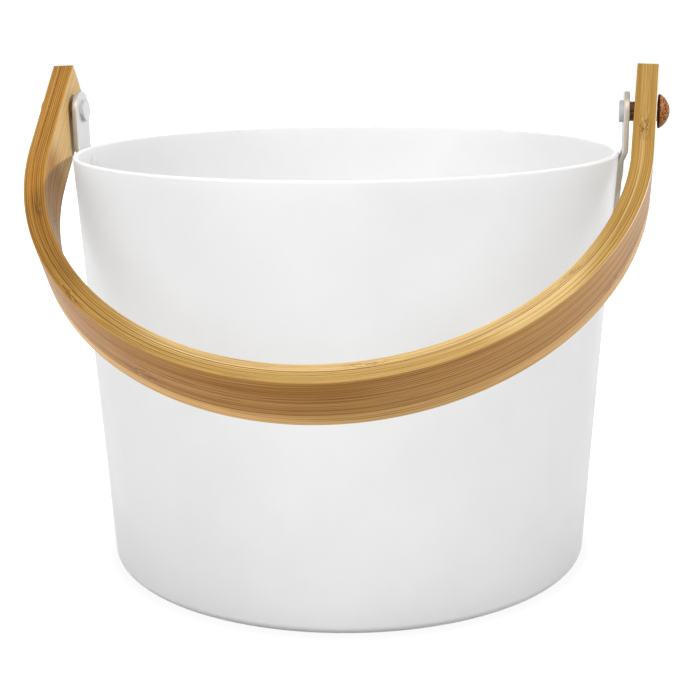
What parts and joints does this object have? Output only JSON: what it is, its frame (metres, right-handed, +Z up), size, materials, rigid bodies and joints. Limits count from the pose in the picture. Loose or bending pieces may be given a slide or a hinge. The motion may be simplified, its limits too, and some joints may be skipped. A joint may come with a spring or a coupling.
{
  "type": "sauna bucket",
  "caption": "Tapered white-painted metal bucket with riveted ears and a laminated bamboo bow handle that swings on turned wooden pegs.",
  "frame": {"origin": "centre of the base's underside, on the surface that the bucket stands on", "axes": "+Z up, -Y to the front where the handle rests, X along the handle's pivot axis"},
  "size_m": [0.258, 0.2364, 0.2026],
  "materials": {
    "white_paint": "satin",
    "bamboo": "satin",
    "peg_wood": "satin"
  },
  "bodies": {
    "bucket": {"bucket_shell": "white_paint", "ear_left": "white_paint", "ear_right": "white_paint", "rivets_left": "white_paint", "rivets_right": "white_paint", "peg_left": "peg_wood", "peg_right": "peg_wood", "pin_left": "white_paint", "pin_right": "white_paint"},
    "handle": {"handle_ply_1": "bamboo", "handle_ply_2": "bamboo", "handle_ply_3": "bamboo", "handle_ply_4": "bamboo", "handle_ply_5": "bamboo"}
  },
  "joints": [
    {"name": "handle_swing", "type": "hinge", "parent": "bucket", "child": "handle", "pos_m": [0, 0, 0.1842], "axis": [-1, 0, 0], "range_deg": [0, 254.1]}
  ]
}
